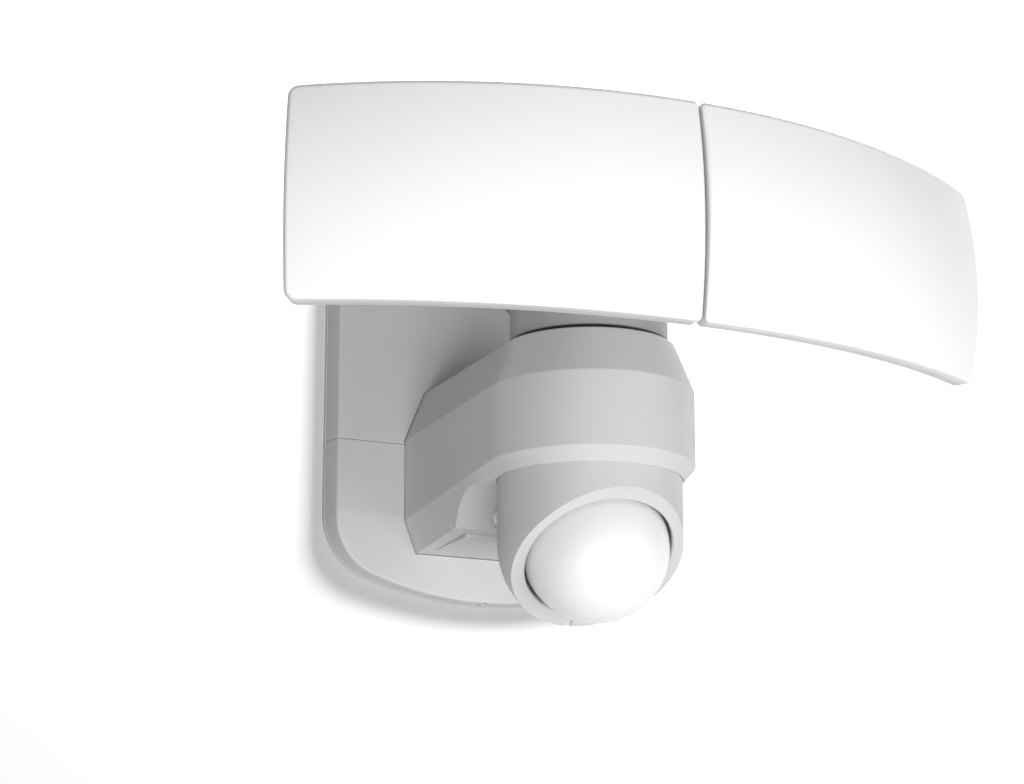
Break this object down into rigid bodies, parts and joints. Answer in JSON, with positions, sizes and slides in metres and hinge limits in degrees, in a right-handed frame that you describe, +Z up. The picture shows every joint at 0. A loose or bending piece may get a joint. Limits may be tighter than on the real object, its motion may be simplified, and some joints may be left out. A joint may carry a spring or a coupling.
{
  "type": "wall floodlight with motion sensor",
  "caption": "Wall-mounted outdoor floodlight: curved LED panels on a tilting carrier, arm with round head, and a motion sensor dome in a turret below.",
  "frame": {"origin": "centre of the base plate's wall face", "axes": "+Y into the wall, +X across the panels, +Z up"},
  "size_m": [0.3562, 0.25, 0.219],
  "materials": {
    "housing": "fine moulded grain, light grey",
    "plate": "fine moulded grain, pale grey",
    "diffuser": "opal white, satin gloss",
    "lens": "opal white, glossy dome",
    "rubber": "matt black",
    "dark_plastic": "matt black",
    "white_plastic": "satin",
    "steel": "turned",
    "aluminium": "rolled sheet",
    "circuit": "solder mask",
    "led_board": "white solder mask",
    "transformer": "yellow tape",
    "bearing": "natural acetal",
    "relay": "blue moulded case",
    "wire_brown": "brown insulation",
    "wire_blue": "blue insulation",
    "wire_green": "green insulation"
  },
  "bodies": {
    "housing": {"wall_plate": "plate", "base_seal": "rubber", "upper_cover": "housing", "lower_cover": "housing", "cover_lock_screw": "steel", "cable_grommet": "rubber", "terminal_block": "white_plastic", "arm_shell": "housing", "setting_board": "circuit", "arm_bottom_cover": "housing", "driver_board": "circuit", "transformer": "transformer", "capacitor": "dark_plastic", "relay": "relay", "wire_live": "wire_brown", "wire_neutral": "wire_blue", "wire_earth": "wire_green", "turret_bearing_ring": "bearing"},
    "time_dial": {"time_dial": "white_plastic"},
    "twilight_dial": {"twilight_dial": "white_plastic"},
    "column": {"column": "housing", "swivel_gasket": "rubber", "swivel_nut": "bearing", "tilt_pin": "steel", "tilt_nut": "steel"},
    "yoke": {"yoke": "housing", "hinge_pin_left": "steel", "hinge_pin_right": "steel", "tilt_washer_left": "bearing", "tilt_washer_right": "bearing"},
    "left_panel": {"left_back_housing": "housing", "left_diffuser": "diffuser", "left_panel_seal": "rubber", "left_heat_spreader": "aluminium", "left_led_board": "led_board"},
    "right_panel": {"right_back_housing": "housing", "right_diffuser": "diffuser", "right_panel_seal": "rubber", "right_heat_spreader": "aluminium", "right_led_board": "led_board"},
    "turret": {"sensor_turret": "housing", "ball_pivot_left": "steel", "ball_pivot_right": "steel", "turret_retainer": "bearing"},
    "sensor_ball": {"lens_dome": "lens", "ball_back_shell": "dark_plastic", "sensor_board": "circuit", "pyro_detector": "steel"}
  },
  "joints": [
    {"name": "head_swivel", "type": "hinge", "parent": "housing", "child": "column", "pos_m": [0, -0.1303, 0.0145], "axis": [0, 0, 1], "range_deg": [-40, 40]},
    {"name": "panel_tilt", "type": "hinge", "parent": "column", "child": "yoke", "pos_m": [0, -0.165, 0.062], "axis": [1, 0, 0], "range_deg": [-30, 30]},
    {"name": "left_panel_swing", "type": "hinge", "parent": "yoke", "child": "left_panel", "pos_m": [-0.016, -0.225, 0.05], "axis": [0, 0, 1], "range_deg": [-30, 0]},
    {"name": "right_panel_swing", "type": "hinge", "parent": "yoke", "child": "right_panel", "pos_m": [0.016, -0.225, 0.05], "axis": [0, 0, 1], "range_deg": [0, 30]},
    {"name": "sensor_pan", "type": "hinge", "parent": "housing", "child": "turret", "pos_m": [0, -0.1303, -0.0459], "axis": [0, 0, 1], "range_deg": [-80, 80]},
    {"name": "sensor_tilt", "type": "hinge", "parent": "turret", "child": "sensor_ball", "pos_m": [0, -0.136, -0.0834], "axis": [1, 0, 0], "range_deg": [-20, 20]},
    {"name": "time_dial_turn", "type": "hinge", "parent": "housing", "child": "time_dial", "pos_m": [-0.0195, -0.065, -0.056], "axis": [0, 1, 0], "range_deg": [-135, 135]},
    {"name": "twilight_dial_turn", "type": "hinge", "parent": "housing", "child": "twilight_dial", "pos_m": [0.0195, -0.065, -0.056], "axis": [0, 1, 0], "range_deg": [-135, 135]}
  ]
}
